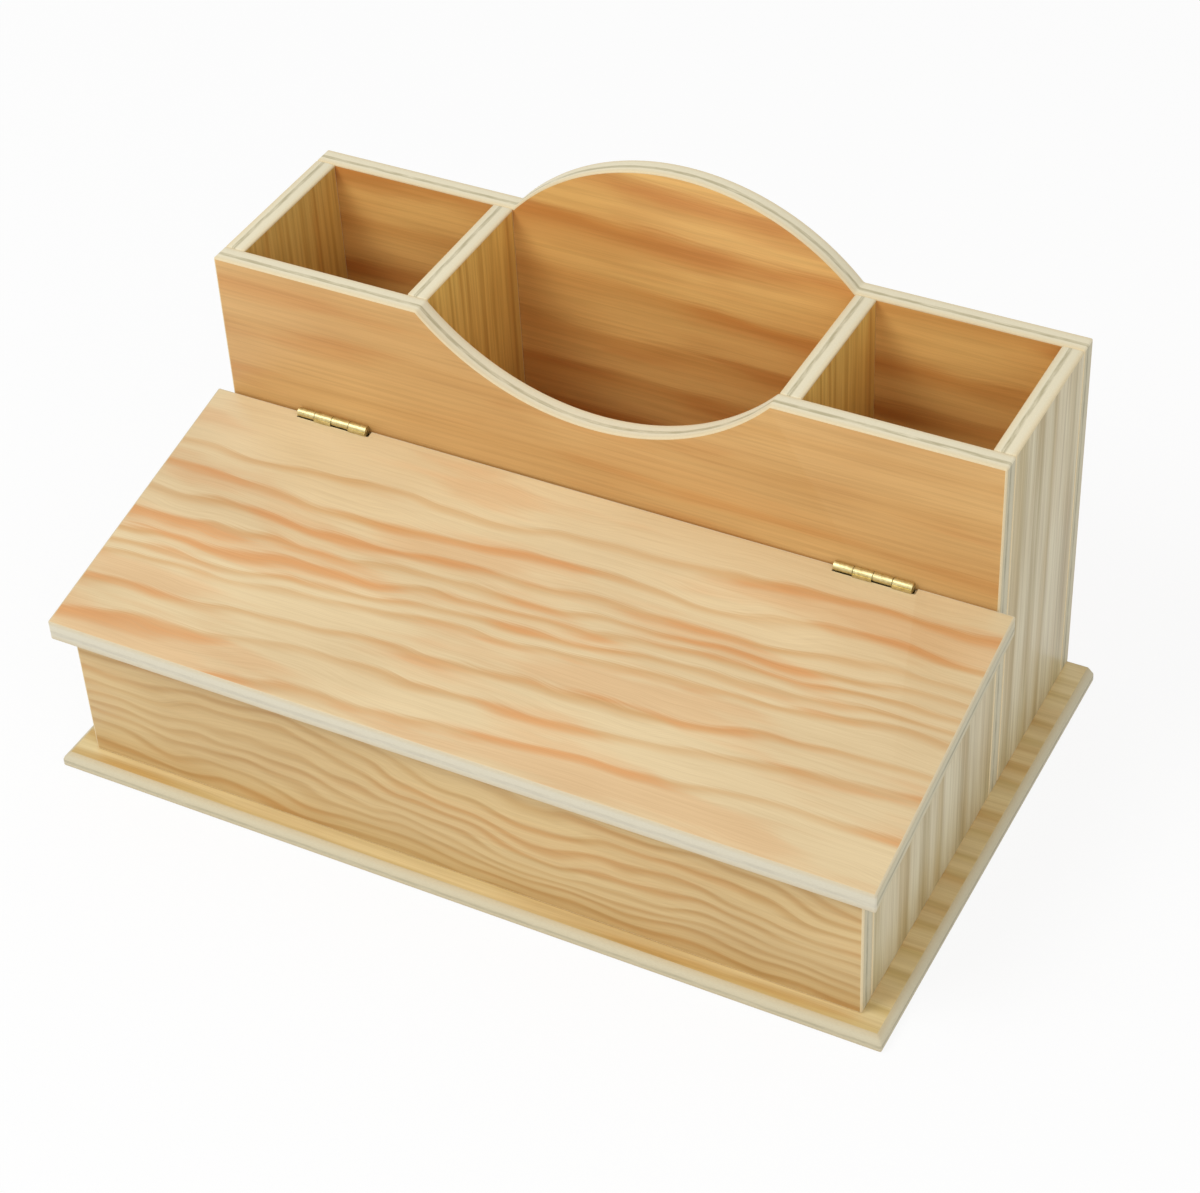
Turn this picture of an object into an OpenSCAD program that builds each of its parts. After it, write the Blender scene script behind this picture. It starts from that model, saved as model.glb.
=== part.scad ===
// Desk organizer with a sloping lift lid.
// A low lidded box stands in front of three open pockets. Every board is glued and
// pinned up from a bevelled base plate, and the lid swings on two small butt hinges.
// Millimetres. The origin is the centre of the base plate's underside, +Z is up, and
// the front of the organizer faces -Y.

/* [Body] */
// Width across the outer faces of the sides
body_w = 262; // [230:1:320]
// Clear depth of the lidded box, from its front panel to the middle panel
box_depth = 89.5; // [70:0.5:120]
// Clear depth of the open pockets, from the middle panel to the back panel
pocket_depth = 54.5; // [40:0.5:90]
// Clear width of the middle pocket, which is also the chord of both arcs
middle_pocket_w = 117; // [90:1:130]
// Height of the straight rims above the desk
rim_h = 131; // [125:1:170]
// Height of the arch over the back rim, and depth of the dip in the middle rim
arc_rise = 26; // [12:1:35]
// Thickness of the upright boards
board_t = 7; // [5:0.5:9]

/* [Base plate] */
// Thickness of the base plate
base_t = 5; // [4:0.5:8]
// How far the base plate stands out past each side
base_side = 9; // [5:0.5:14]
// How far the base plate stands out past the front panel
base_front = 7; // [6:0.5:14]
// Bevel along the top edge of the base plate
base_bevel = 2; // [0.5:0.25:3]

/* [Lid] */
// Thickness of the lid
lid_t = 7; // [5:0.5:9]
// Height of the lid's top where it meets the middle panel
lid_h = 80; // [72:1:90]
// Fall of the lid towards the front, in degrees
lid_slope = 11.5; // [6:0.5:15]
// How far the lid stands out past each side
lid_side = 5.3; // [2:0.1:8]
// How far the lid's nose stands out past the front panel
lid_front = 4.4; // [2:0.1:5.5]
// Gap between the lid's back edge and the middle panel
lid_back_gap = 0.5; // [0.3:0.1:1]
// Clearance under the closed lid
lid_rest_gap = 0.3; // [0.2:0.1:0.6]

/* [Hinges] */
// Length of each butt hinge
hinge_len = 25; // [18:0.5:32]
// Distance from the side of the body to the middle of the hinge
hinge_inset = 38.5; // [25:0.5:60]
// Radius of the hinge barrel
barrel_r = 1.5; // [1.3:0.1:1.8]
// Height of the hinge axis above the lid's top at the middle panel
barrel_rise = 0.4; // [0:0.1:1]
// Thickness of the hinge leaves
leaf_t = 0.6; // [0.4:0.1:0.7]
// How far the leaves reach below the hinge axis
leaf_drop = 6; // [5.5:0.1:6.4]
// Radius of the hinge pin
pin_r = 0.75; // [0.6:0.05:0.9]
// Running clearance of the pin in the lid leaf's knuckles, on the radius
pin_run_gap = 0.05; // [0.02:0.01:0.08]
// Clearance between neighbouring knuckles
knuckle_gap = 0.2; // [0.1:0.05:0.4]
// Room in the lid around the turning barrel
groove_gap = 0.4; // [0.2:0.1:0.8]
// Room at each end and under the leaves in the lid's mortise
mortise_gap = 0.3; // [0.2:0.1:0.6]

/* [Fasteners] */
// Radius of the hinge screws' shanks
screw_r = 0.6; // [0.5:0.05:0.7]
// Radius of the hinge screws' countersunk heads
screw_head_r = 1.1; // [0.9:0.05:1.3]
// Length of the hinge screws
screw_len = 6; // [4:0.5:6.5]
// Distance between the two screws of a leaf
screw_spacing = 14; // [9:0.5:16]
// How far the screws sit below the hinge axis
screw_drop = 4; // [3.6:0.1:4.2]
// Radius of the brads' shanks
brad_r = 0.6; // [0.4:0.05:0.9]
// Radius of the brads' heads
brad_head_r = 1; // [0.95:0.05:1.5]
// Thickness of the brads' heads
brad_head_t = 0.6; // [0.4:0.1:1]
// Length of the brads
brad_len = 20; // [15:1:25]
// How far the brads' heads are sunk below the surface
brad_sink = 0.2; // [0.1:0.1:0.6]
// Distance from the side of the body to the outer brads of each cross board
brad_inset = 40; // [20:1:60]
// Height of the lower brads in the back panel above the base plate
back_brad_low = 25; // [15:1:40]
// Distance from the upper brads in the back panel down from the rim
back_brad_top = 25; // [15:1:40]
// Clearance round every screw and brad in its hole, on the radius
fastener_gap = 0.05; // [0.02:0.01:0.08]

/* [Hidden] */

arc_fn = 180;
small_fn = 32;
// Cutters reach this far past the face that they open
past = 1;
left = -1;
right = 1;

// Depths, from the base plate's front edge backwards
body_d = box_depth + pocket_depth + 3 * board_t;
plate_d = body_d + base_front;
plate_w = body_w + 2 * base_side;
front_y = base_front - plate_d / 2;
box_y = front_y + board_t;
middle_y = box_y + box_depth;
pocket_y = middle_y + board_t;
back_y = pocket_y + pocket_depth;
rear_y = back_y + board_t;

// Widths, measured out from the middle
side_x = body_w / 2 - board_t;
divider_x = middle_pocket_w / 2;
hinge_x = body_w / 2 - hinge_inset;

// The arc that dips into the middle panel and rises over the back panel
arc_r = (pow(middle_pocket_w / 2, 2) + pow(arc_rise, 2)) / (2 * arc_rise);

// The lid's top and underside, and the tops of the boards that carry it
function lid_top_at(y) = lid_h - (middle_y - y) * tan(lid_slope);
function lid_under_at(y) = lid_top_at(y) - lid_t / cos(lid_slope);
function rest_at(y) = lid_under_at(y) - lid_rest_gap;
nose_y = front_y - lid_front;
lid_back_y = middle_y - lid_back_gap;
lid_w = body_w + 2 * lid_side;

// The hinge axis, which lies one barrel radius in front of the middle panel
axis_y = middle_y - barrel_r;
axis_z = lid_h + barrel_rise;
knuckles = 4;
knuckle_len = hinge_len / knuckles;
leaf_clear = barrel_r + groove_gap;
// The pin is held tight in the middle panel's leaf
pin_hold_gap = 0.01;
// The leaves' knuckles from left to right: even ones are the middle panel's
panel_knuckles = [0, 2];
lid_knuckles = [1, 3];

// Where the brads go, as [x, y] up through the base plate and [x, z] through the back
cross_board_x = [-(body_w / 2 - brad_inset), 0, body_w / 2 - brad_inset];
cross_board_y = [front_y, middle_y, back_y];
base_brad_spots = concat(
    [for (x = cross_board_x, y = cross_board_y) [x, y + board_t / 2]],
    [for (s = [left, right]) [s * (side_x + board_t / 2), box_y + box_depth / 2]],
    [for (s = [left, right]) [s * (side_x + board_t / 2), pocket_y + pocket_depth / 2]],
    [for (s = [left, right]) [s * (divider_x + board_t / 2), pocket_y + pocket_depth / 2]]
);
back_brad_spots = [
    for (s = [left, right], x = [side_x, divider_x], z = [base_t + back_brad_low, rim_h - back_brad_top])
        [s * (x + board_t / 2), z]
];

// Stands an outline drawn as [x, z] upright, from y to y + depth
module upright(y, depth) {
    translate([0, y + depth, 0])
        rotate([90, 0, 0])
            linear_extrude(depth)
                children();
}

// Lays an outline drawn as [y, z] across, from x to x + width
module across(x, width) {
    translate([x, 0, 0])
        rotate([90, 0, 90])
            linear_extrude(width)
                children();
}

// A rod along X, centred on the hinge axis
module axis_rod(x, r, len) {
    translate([x, axis_y, axis_z])
        rotate([0, 90, 0])
            cylinder(r = r, h = len, $fn = small_fn);
}

// A brad that points along +Z from its head's outer face at z = 0
module brad(grow = 0) {
    cylinder(r = brad_r + grow, h = brad_len + grow, $fn = small_fn);
    cylinder(r = brad_head_r + grow, h = brad_head_t + grow, $fn = small_fn);
}

// A brad's hole, open to the face that the head is sunk below
module brad_hole() {
    brad(fastener_gap);
    translate([0, 0, -brad_sink - past])
        cylinder(r = brad_head_r + fastener_gap, h = brad_sink + past, $fn = small_fn);
}

// Puts one child at each brad of the base plate, pointing up
module at_base_brads() {
    for (p = base_brad_spots)
        translate([p[0], p[1], brad_sink])
            children();
}

// Puts one child at each brad of the back panel, pointing to the front
module at_back_brads() {
    for (p = back_brad_spots)
        translate([p[0], rear_y - brad_sink, p[1]])
            rotate([90, 0, 0])
                children();
}

// A countersunk screw that points along +Z from its head's face at z = 0
module screw(grow = 0) {
    cylinder(r1 = screw_head_r + grow, r2 = screw_r + grow, h = leaf_t, $fn = small_fn);
    cylinder(r = screw_r + grow, h = screw_len + grow, $fn = small_fn);
}

// Puts one child at each screw of the middle panel's leaf, pointing to the back
module at_panel_screws(side) {
    for (dx = [-screw_spacing / 2, screw_spacing / 2])
        translate([side * hinge_x + dx, middle_y - leaf_t, axis_z - screw_drop])
            rotate([-90, 0, 0])
                children();
}

// Puts one child at each screw of the lid's leaf, pointing to the front
module at_lid_screws(side) {
    for (dx = [-screw_spacing / 2, screw_spacing / 2])
        translate([side * hinge_x + dx, axis_y - barrel_r + leaf_t, axis_z - screw_drop])
            rotate([90, 0, 0])
                children();
}

// One leaf of a hinge: a plate from y, its knuckles, and the tabs that join them
module leaf(side, y, own_knuckles, bore_gap) {
    x0 = side * hinge_x - hinge_len / 2;
    difference() {
        union() {
            translate([x0, y, axis_z - leaf_drop])
                cube([hinge_len, leaf_t, leaf_drop - leaf_clear]);
            for (k = own_knuckles) {
                from = x0 + k * knuckle_len + (k == 0 ? 0 : knuckle_gap / 2);
                to = x0 + (k + 1) * knuckle_len - (k == knuckles - 1 ? 0 : knuckle_gap / 2);
                axis_rod(from, barrel_r, to - from);
                translate([from, y, axis_z - leaf_drop])
                    cube([to - from, leaf_t, leaf_drop]);
            }
        }
        axis_rod(x0 - past, pin_r + bore_gap, hinge_len + 2 * past);
    }
}

module panel_leaf(side) {
    color("#c9a13b")
        difference() {
            leaf(side, middle_y - leaf_t, panel_knuckles, pin_hold_gap);
            at_panel_screws(side)
                screw(fastener_gap);
        }
}

module lid_leaf(side) {
    color("#c9a13b")
        difference() {
            leaf(side, axis_y - barrel_r, lid_knuckles, pin_run_gap);
            at_lid_screws(side)
                screw(fastener_gap);
        }
}

module hinge_pin(side) {
    color("#b08a2e")
        axis_rod(side * hinge_x - hinge_len / 2, pin_r, hinge_len);
}

module panel_leaf_screws() {
    color("#d8b968")
        for (side = [left, right])
            at_panel_screws(side)
                screw();
}

module lid_leaf_screws() {
    color("#d8b968")
        for (side = [left, right])
            at_lid_screws(side)
                screw();
}

// The recess that takes a closed hinge in the lid's back edge, with its screw holes
module hinge_recess(side) {
    x0 = side * hinge_x - hinge_len / 2 - mortise_gap;
    len = hinge_len + 2 * mortise_gap;
    depth = 2 * barrel_r;
    floor_z = axis_z - leaf_drop - mortise_gap;
    translate([x0, middle_y - depth, floor_z])
        cube([len, depth + past, lid_h + past - floor_z]);
    axis_rod(x0, leaf_clear, len);
    at_lid_screws(side)
        screw(fastener_gap);
}

module lid() {
    color("#e6c88f")
        difference() {
            across(-lid_w / 2, lid_w)
                polygon([
                    [nose_y, lid_under_at(nose_y)],
                    [lid_back_y, lid_under_at(lid_back_y)],
                    [lid_back_y, lid_top_at(lid_back_y)],
                    [nose_y, lid_top_at(nose_y)]
                ]);
            hinge_recess(left);
            hinge_recess(right);
        }
}

// The base plate is square below and bevelled along its front and side top edges
module base_plate() {
    color("#b98f52")
        difference() {
            intersection() {
                upright(-plate_d / 2, plate_d)
                    polygon([
                        [-plate_w / 2, 0],
                        [plate_w / 2, 0],
                        [plate_w / 2, base_t - base_bevel],
                        [plate_w / 2 - base_bevel, base_t],
                        [-plate_w / 2 + base_bevel, base_t],
                        [-plate_w / 2, base_t - base_bevel]
                    ]);
                across(-plate_w / 2, plate_w)
                    polygon([
                        [-plate_d / 2, 0],
                        [plate_d / 2, 0],
                        [plate_d / 2, base_t],
                        [-plate_d / 2 + base_bevel, base_t],
                        [-plate_d / 2, base_t - base_bevel]
                    ]);
            }
            at_base_brads()
                brad_hole();
        }
}

// The low front panel, with its top planed to the lid's slope
module front_panel() {
    color("#d9ae62")
        difference() {
            across(-body_w / 2, body_w)
                polygon([
                    [front_y, base_t],
                    [box_y, base_t],
                    [box_y, rest_at(box_y)],
                    [front_y, rest_at(front_y)]
                ]);
            at_base_brads()
                brad(fastener_gap);
        }
}

// The middle panel runs the full width, and its rim dips between the dividers
module middle_panel() {
    color("#d8a766")
        difference() {
            upright(middle_y, board_t)
                difference() {
                    translate([-body_w / 2, base_t])
                        square([body_w, rim_h - base_t]);
                    translate([0, rim_h - arc_rise + arc_r])
                        circle(r = arc_r, $fn = arc_fn);
                }
            at_base_brads()
                brad(fastener_gap);
            for (side = [left, right])
                at_panel_screws(side)
                    screw(fastener_gap);
        }
}

// The back panel runs the full width, and its rim arches up between the dividers
module back_panel() {
    color("#d8a766")
        difference() {
            upright(back_y, board_t)
                union() {
                    translate([-body_w / 2, base_t])
                        square([body_w, rim_h - base_t]);
                    intersection() {
                        translate([0, rim_h + arc_rise - arc_r])
                            circle(r = arc_r, $fn = arc_fn);
                        translate([-middle_pocket_w / 2, rim_h - board_t])
                            square([middle_pocket_w, arc_rise + 2 * board_t]);
                    }
                }
            at_base_brads()
                brad(fastener_gap);
            at_back_brads()
                brad_hole();
        }
}

// A side of the lidded box, with its top planed to the lid's slope
module front_side(side) {
    color("#c3b184")
        difference() {
            across(side * (side_x + board_t / 2) - board_t / 2, board_t)
                polygon([
                    [box_y, base_t],
                    [middle_y, base_t],
                    [middle_y, rest_at(middle_y)],
                    [box_y, rest_at(box_y)]
                ]);
            at_base_brads()
                brad(fastener_gap);
        }
}

// A board that stands between the middle and back panels, with its inner face at x
module pocket_board(side, x) {
    difference() {
        translate([side * (x + board_t / 2) - board_t / 2, pocket_y, base_t])
            cube([board_t, pocket_depth, rim_h - base_t]);
        at_base_brads()
            brad(fastener_gap);
        at_back_brads()
            brad(fastener_gap);
    }
}

module rear_side(side) {
    color("#c3b184")
        pocket_board(side, side_x);
}

module divider(side) {
    color("#b98c4a")
        pocket_board(side, divider_x);
}

module base_brads() {
    color("silver")
        at_base_brads()
            brad();
}

module back_brads() {
    color("silver")
        at_back_brads()
            brad();
}

base_plate();
front_panel();
middle_panel();
back_panel();
front_side(left);  // left_front_side
front_side(right);  // right_front_side
rear_side(left);  // left_rear_side
rear_side(right);  // right_rear_side
divider(left);  // left_divider
divider(right);  // right_divider
lid();
panel_leaf(left);  // left_panel_leaf
lid_leaf(left);  // left_lid_leaf
hinge_pin(left);  // left_hinge_pin
panel_leaf(right);  // right_panel_leaf
lid_leaf(right);  // right_lid_leaf
hinge_pin(right);  // right_hinge_pin
panel_leaf_screws();
lid_leaf_screws();
base_brads();
back_brads();
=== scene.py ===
"""Dresses the desk organizer: plywood boards, brass butt hinges, steel brads, a pale stage and a camera."""

from __future__ import annotations

import logging
import math
from collections.abc import Callable, Iterable
from dataclasses import dataclass, field, replace
from enum import Enum

import bpy
from mathutils import Matrix, Vector

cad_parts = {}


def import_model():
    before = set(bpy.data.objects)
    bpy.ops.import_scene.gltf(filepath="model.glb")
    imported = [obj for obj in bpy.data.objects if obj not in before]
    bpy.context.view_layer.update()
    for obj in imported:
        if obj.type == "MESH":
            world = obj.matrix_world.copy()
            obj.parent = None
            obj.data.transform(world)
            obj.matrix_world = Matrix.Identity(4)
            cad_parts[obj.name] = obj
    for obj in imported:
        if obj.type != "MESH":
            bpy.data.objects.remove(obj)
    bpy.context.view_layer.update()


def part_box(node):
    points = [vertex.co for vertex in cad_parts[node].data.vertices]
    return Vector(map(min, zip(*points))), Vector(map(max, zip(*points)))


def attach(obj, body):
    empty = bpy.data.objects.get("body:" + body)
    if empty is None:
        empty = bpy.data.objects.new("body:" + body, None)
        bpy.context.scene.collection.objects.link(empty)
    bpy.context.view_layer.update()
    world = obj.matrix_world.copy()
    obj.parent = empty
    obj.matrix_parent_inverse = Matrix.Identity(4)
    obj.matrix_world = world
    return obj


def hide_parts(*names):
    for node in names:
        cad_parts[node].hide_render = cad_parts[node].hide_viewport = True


log = logging.getLogger("organizer")

MM = 0.001
# Two places closer than this count as one
NEAR = 0.1 * MM
# A cutting tool reaches this far past the face that it opens
PAST = 1 * MM
# A face looks straight along a direction when the cosine between them is larger than this
STRAIGHT = 0.97
Colour = tuple[float, float, float, float]


def rgb(code: str) -> Colour:
    """Turns a hex colour, as it looks on screen, into the linear colour that a shader takes.

    Args:
        code: Six hex digits.

    Returns:
        The linear colour, with alpha 1.
    """
    parts = [int(code[i : i + 2], 16) / 255 for i in (0, 2, 4)]
    linear = [c / 12.92 if c <= 0.04045 else ((c + 0.055) / 1.055) ** 2.4 for c in parts]
    return (linear[0], linear[1], linear[2], 1.0)


BLACK = rgb("000000")
WHITE = rgb("ffffff")


class Axis(Enum):
    """The three directions of the organizer's frame."""

    ACROSS = 0
    DEEP = 1
    UP = 2

    @property
    def unit(self) -> Vector:
        """The unit vector along this direction."""
        return Vector([float(i == self.value) for i in range(3)])


class Side(Enum):
    """The two ends of the organizer, as seen from its front."""

    LEFT = "left"
    RIGHT = "right"


class Joinery(Enum):
    """What one piece does to another when the two are combined."""

    CUT = "DIFFERENCE"
    ADD = "UNION"


class Skin(Enum):
    """The kinds of surface on a board, numbered as the board's material slots."""

    FACE = 0
    EDGE = 1
    END_GRAIN = 2
    INNER_FACE = 3


@dataclass(frozen=True)
class Box:
    """An upright box between two corners, in metres."""

    low: Vector
    high: Vector

    @classmethod
    def of(cls, node: str) -> Box:
        """Reads a piece's box from the frame.

        Args:
            node: The piece's name in the frame.

        Returns:
            Its box at rest.
        """
        low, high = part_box(node)
        return cls(Vector(low), Vector(high))

    @property
    def size(self) -> Vector:
        """The box's three lengths."""
        return self.high - self.low

    @property
    def centre(self) -> Vector:
        """The box's middle."""
        return (self.low + self.high) / 2


class Bench:
    """The modelling steps that every piece is shaped with."""

    @staticmethod
    def clear_selection() -> None:
        """Leaves nothing selected, in object mode."""
        if bpy.context.mode != "OBJECT":
            bpy.ops.object.mode_set(mode="OBJECT")
        bpy.ops.object.select_all(action="DESELECT")

    @staticmethod
    def take(piece: bpy.types.Object) -> None:
        """Makes one piece the selected and active one.

        Args:
            piece: The piece to work on.
        """
        Bench.clear_selection()
        piece.select_set(True)
        bpy.context.view_layer.objects.active = piece

    @staticmethod
    def settle(piece: bpy.types.Object) -> None:
        """Moves a piece's place, turn and scale into its mesh."""
        Bench.take(piece)
        bpy.ops.object.transform_apply(location=True, rotation=True, scale=True)

    @staticmethod
    def block(name: str, box: Box) -> bpy.types.Object:
        """Adds a rectangular block.

        Args:
            name: The new piece's name.
            box: The space that it fills.

        Returns:
            The new piece.
        """
        Bench.clear_selection()
        bpy.ops.mesh.primitive_cube_add(size=1, location=box.centre, scale=box.size)
        piece = bpy.context.object
        piece.name = piece.data.name = name
        Bench.settle(piece)
        return piece

    @staticmethod
    def rod(
        name: str, start: Vector, axis: Axis, radius: float, length: float, sides: int = 48
    ) -> bpy.types.Object:
        """Adds a round rod.

        Args:
            name: The new piece's name.
            start: The middle of the end that the rod starts from.
            axis: The direction it runs in.
            radius: Its radius.
            length: Its length.
            sides: How many sides its outline has.

        Returns:
            The new piece.
        """
        Bench.clear_selection()
        turn = Vector((0, 0, 1)).rotation_difference(axis.unit).to_euler()
        middle = start + axis.unit * length / 2
        bpy.ops.mesh.primitive_cylinder_add(
            vertices=sides, radius=radius, depth=length, location=middle, rotation=turn
        )
        piece = bpy.context.object
        piece.name = piece.data.name = name
        Bench.settle(piece)
        return piece

    @staticmethod
    def saw(piece: bpy.types.Object, point: Vector, normal: Vector) -> None:
        """Cuts a piece through a plane and closes the cut.

        Args:
            piece: The piece to cut.
            point: A point on the plane.
            normal: The side of the plane that is taken away.
        """
        Bench.take(piece)
        bpy.ops.object.mode_set(mode="EDIT")
        bpy.ops.mesh.select_all(action="SELECT")
        bpy.ops.mesh.bisect(plane_co=point, plane_no=normal, use_fill=True, clear_outer=True)
        bpy.ops.object.mode_set(mode="OBJECT")

    @staticmethod
    def bevel_edges(
        piece: bpy.types.Object, wanted: Callable[[Vector, Vector], bool], width: float, steps: int = 1
    ) -> None:
        """Bevels the edges that pass a test.

        Args:
            piece: The piece to bevel.
            wanted: Tells whether an edge between two points is bevelled.
            width: How far the bevel reaches into each face.
            steps: How many facets the bevel has.
        """
        Bench.take(piece)
        bpy.ops.object.mode_set(mode="EDIT")
        bpy.ops.mesh.select_mode(type="EDGE")
        bpy.ops.mesh.select_all(action="DESELECT")
        bpy.ops.object.mode_set(mode="OBJECT")
        mesh = piece.data
        for edge in mesh.edges:
            a, b = (mesh.vertices[i].co for i in edge.vertices)
            edge.select = wanted(a, b)
        bpy.ops.object.mode_set(mode="EDIT")
        bpy.ops.mesh.bevel(offset=width, segments=steps, affect="EDGES")
        bpy.ops.object.mode_set(mode="OBJECT")

    @staticmethod
    def apply(piece: bpy.types.Object, modifier: bpy.types.Modifier) -> None:
        """Makes a modifier's work part of the mesh."""
        Bench.take(piece)
        bpy.ops.object.modifier_apply(modifier=modifier.name)

    @staticmethod
    def combine(piece: bpy.types.Object, tool: bpy.types.Object, how: Joinery = Joinery.CUT) -> None:
        """Cuts a piece with another one, or adds the other one to it. The other one is used up.

        Args:
            piece: The piece that stays.
            tool: The piece that cuts it or is added to it.
            how: What the tool does.
        """
        modifier = piece.modifiers.new("combine", "BOOLEAN")
        modifier.operation = how.value
        modifier.solver = "EXACT"
        modifier.object = tool
        Bench.apply(piece, modifier)
        Bench.take(tool)
        bpy.ops.object.delete()

    @staticmethod
    def join(pieces: Iterable[bpy.types.Object]) -> bpy.types.Object:
        """Joins separate pieces into one object.

        Args:
            pieces: The pieces, of which the first keeps its name.

        Returns:
            The joined object.
        """
        group = list(pieces)
        Bench.take(group[0])
        for piece in group:
            piece.select_set(True)
        bpy.ops.object.join()
        return group[0]

    @staticmethod
    def ease(piece: bpy.types.Object, radius: float, steps: int = 3, angle: float = 30) -> None:
        """Rounds every sharp edge of a piece a little, as sanding does.

        Args:
            piece: The piece to ease.
            radius: The rounding's radius.
            steps: How many facets the rounding has.
            angle: The edges that turn by more than this, in degrees, are rounded.
        """
        modifier = piece.modifiers.new("ease", "BEVEL")
        modifier.width = radius
        modifier.segments = steps
        modifier.limit_method = "ANGLE"
        modifier.angle_limit = math.radians(angle)
        Bench.apply(piece, modifier)

    @staticmethod
    def smooth(piece: bpy.types.Object, angle: float = 35) -> None:
        """Shades a piece smooth, except over edges sharper than the angle in degrees."""
        Bench.take(piece)
        bpy.ops.object.shade_smooth_by_angle(angle=math.radians(angle))


class Nodes:
    """Builds the nodes of one material, or of the world."""

    def __init__(self, owner: bpy.types.Material | bpy.types.World) -> None:
        """Starts with an empty node tree.

        Args:
            owner: The material or the world that the nodes belong to.
        """
        owner.use_nodes = True
        self.owner = owner
        self.tree = owner.node_tree
        self.tree.nodes.clear()

    @classmethod
    def of(cls, name: str) -> Nodes:
        """Starts a new material."""
        return cls(bpy.data.materials.new(name))

    def add(self, kind: str, inputs: dict | None = None, **settings: object) -> bpy.types.Node:
        """Adds a node.

        Args:
            kind: The node's type without its ShaderNode prefix.
            inputs: Values or output sockets by input name or number.
            **settings: The node's own settings.

        Returns:
            The new node.
        """
        node = self.tree.nodes.new("ShaderNode" + kind)
        for key, value in settings.items():
            setattr(node, key, value)
        for key, value in (inputs or {}).items():
            socket = node.inputs[key]
            if isinstance(value, bpy.types.NodeSocket):
                self.tree.links.new(value, socket)
            else:
                socket.default_value = value
        return node

    def math(self, how: str, *values: object) -> bpy.types.NodeSocket:
        """Adds a Math node on numbers or sockets and returns its result."""
        return self.add("Math", dict(enumerate(values)), operation=how).outputs[0]

    def dot(self, vector: bpy.types.NodeSocket, direction: Vector) -> bpy.types.NodeSocket:
        """Measures a vector along a direction and returns the length."""
        node = self.add("VectorMath", {0: vector, 1: direction}, operation="DOT_PRODUCT")
        return node.outputs["Value"]

    def vector(self, x: object, y: object, z: object) -> bpy.types.NodeSocket:
        """Makes a vector of three numbers or sockets."""
        return self.add("CombineXYZ", {0: x, 1: y, 2: z}).outputs[0]

    def noise(
        self, vector: bpy.types.NodeSocket, scale: float, detail: float, rough: float
    ) -> bpy.types.NodeSocket:
        """Adds a noise texture and returns its value, from 0 to 1."""
        node = self.add("TexNoise", {"Vector": vector, "Scale": scale, "Detail": detail, "Roughness": rough})
        return node.outputs["Fac"]

    def fine_noise(self, vector: bpy.types.NodeSocket, scale: float = 1.0) -> bpy.types.NodeSocket:
        """Adds the crisp noise of fibres, specks and haze, and returns its value."""
        return self.noise(vector, scale, detail=3, rough=0.6)

    def ramp(
        self, value: bpy.types.NodeSocket, stops: list[tuple[float, Colour]], smooth: bool = False
    ) -> bpy.types.NodeSocket:
        """Turns a value into a colour by stops along it.

        Args:
            value: The value, from 0 to 1.
            stops: Places and the colours there.
            smooth: Whether the colours ease in and out.

        Returns:
            The colour.
        """
        node = self.add("ValToRGB", {"Fac": value})
        elements = node.color_ramp.elements
        node.color_ramp.interpolation = "EASE" if smooth else "LINEAR"
        while len(elements) < len(stops):
            elements.new(0.5)
        for element, (place, colour) in zip(elements, stops):
            element.position = place
            element.color = colour
        return node.outputs["Color"]

    def blend(self, how: str, amount: object, under: object, over: object) -> bpy.types.NodeSocket:
        """Lays one colour over another.

        Args:
            how: The Mix node's blend type.
            amount: How much of the upper colour shows.
            under: The lower colour.
            over: The upper colour.

        Returns:
            The blended colour.
        """
        node = self.add("Mix", {"Factor": amount}, data_type="RGBA", blend_type=how)
        for socket, value in ((node.inputs[6], under), (node.inputs[7], over)):
            if isinstance(value, bpy.types.NodeSocket):
                self.tree.links.new(value, socket)
            else:
                socket.default_value = value
        return node.outputs[2]

    def seen(self) -> bpy.types.NodeSocket:
        """Tells the rays that see a surface from those that only carry its light.

        Returns:
            1 for a ray from the camera, through glass or off a shiny surface, and 0 for any other.
        """
        path = self.add("LightPath")
        direct = self.math("MAXIMUM", path.outputs["Is Camera Ray"], path.outputs["Is Transmission Ray"])
        return self.math("MAXIMUM", direct, path.outputs["Is Glossy Ray"])

    def finish(self, shader: bpy.types.Node) -> bpy.types.Material | bpy.types.World:
        """Sends a shader to the output.

        Args:
            shader: The last node before the output.

        Returns:
            The finished material or world.
        """
        kind = "OutputWorld" if isinstance(self.owner, bpy.types.World) else "OutputMaterial"
        self.add(kind, {"Surface": shader.outputs[0]})
        return self.owner


@dataclass(frozen=True)
class Veneer:
    """The look of one board's face: softwood veneer with wavy growth rings.

    Lengths are in millimetres. The rings are places across the grain and repeat after every period. The
    lean is their slope along the board, the fan makes that slope change across it, and the seed shifts the
    waves so that no two boards match.
    """

    light: str
    ring: str
    warm: str
    rings: tuple[float, ...]
    period: float
    widest: float = 3.5
    ring_share: float = 0.55
    strength: float = 1.0
    warmth: float = 0.6
    lean: float = 0.0
    fan: float = 0.0
    swing: float = 8.0
    wave_long: float = 70.0
    wave_wide: float = 25.0
    wave_detail: float = 2.0
    feather: float = 1.2
    grain: float = 0.25
    seed: float = 0.0

    def stops(self) -> list[tuple[float, Colour]]:
        """Works out where the rings begin, peak and end.

        Returns:
            Places along one period and how strong the ring is there, as a grey.
        """
        listed = []
        before = self.rings[-1] - self.period
        for place in self.rings:
            wide = min(self.ring_share * (place - before), self.widest)
            steps = ((place - wide, BLACK), (place, WHITE), (place + wide / 2, BLACK))
            listed += [(max(spot, 0.0) / self.period, grey) for spot, grey in steps]
            before = place
        return listed


@dataclass(frozen=True)
class Mottle:
    """A soft pattern along the grain, which goes from a dark shade to white.

    Its two lengths are in millimetres, and low and high are the noise values that it changes between.
    """

    long: float
    wide: float
    detail: float
    low: float
    high: float
    dark: str


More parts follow.
